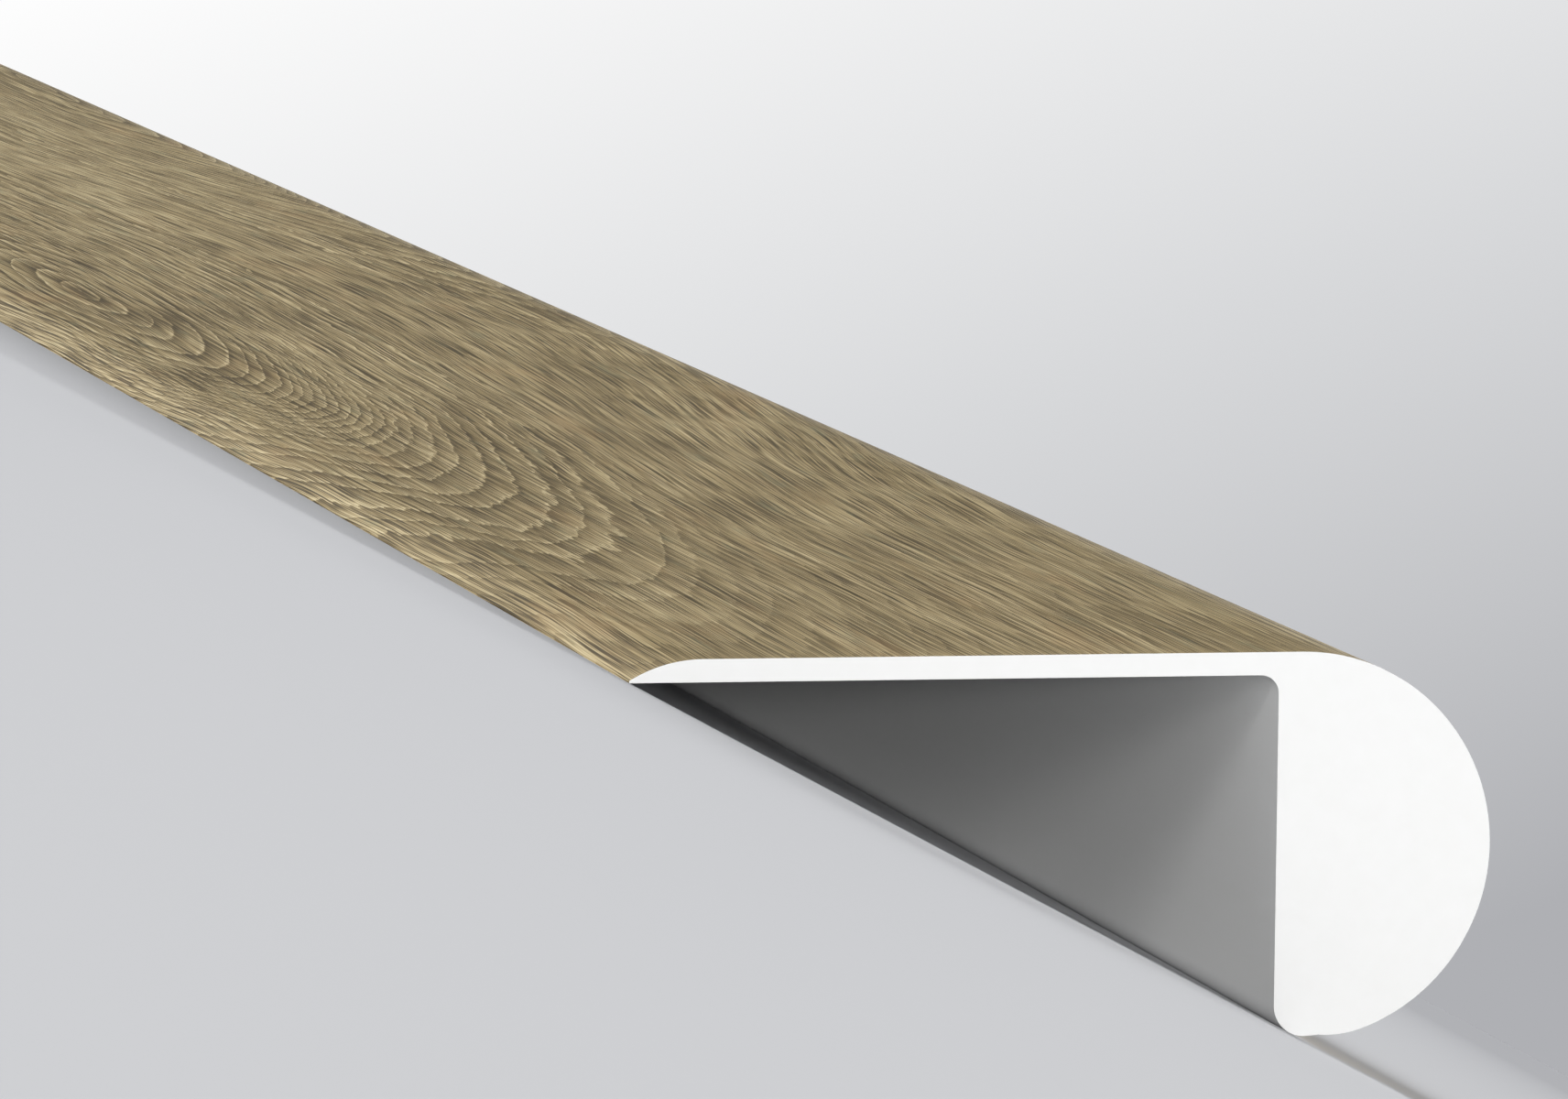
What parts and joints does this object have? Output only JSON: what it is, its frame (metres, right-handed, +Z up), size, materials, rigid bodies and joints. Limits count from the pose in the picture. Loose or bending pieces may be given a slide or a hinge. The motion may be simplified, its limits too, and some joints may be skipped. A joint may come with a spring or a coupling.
{
  "type": "overlap stair nose",
  "caption": "Long vinyl stair nose moulding with a full round nose and a thin flange that laps over the floor covering; oak-look film on a white core.",
  "frame": {"origin": "under the middle of the box, on the level that the moulding lies on", "axes": "+Y along the length, +X towards the round nose, +Z up with the decor side up; the flange slopes down towards -X, to its tip on the ground"},
  "size_m": [0.0572, 2.3876, 0.0237],
  "materials": {
    "core": "matte white vinyl",
    "decor_film": "satin printed film, taupe oak"
  },
  "bodies": {
    "root": {"core": "core", "decor_film": "decor_film"}
  },
  "joints": []
}
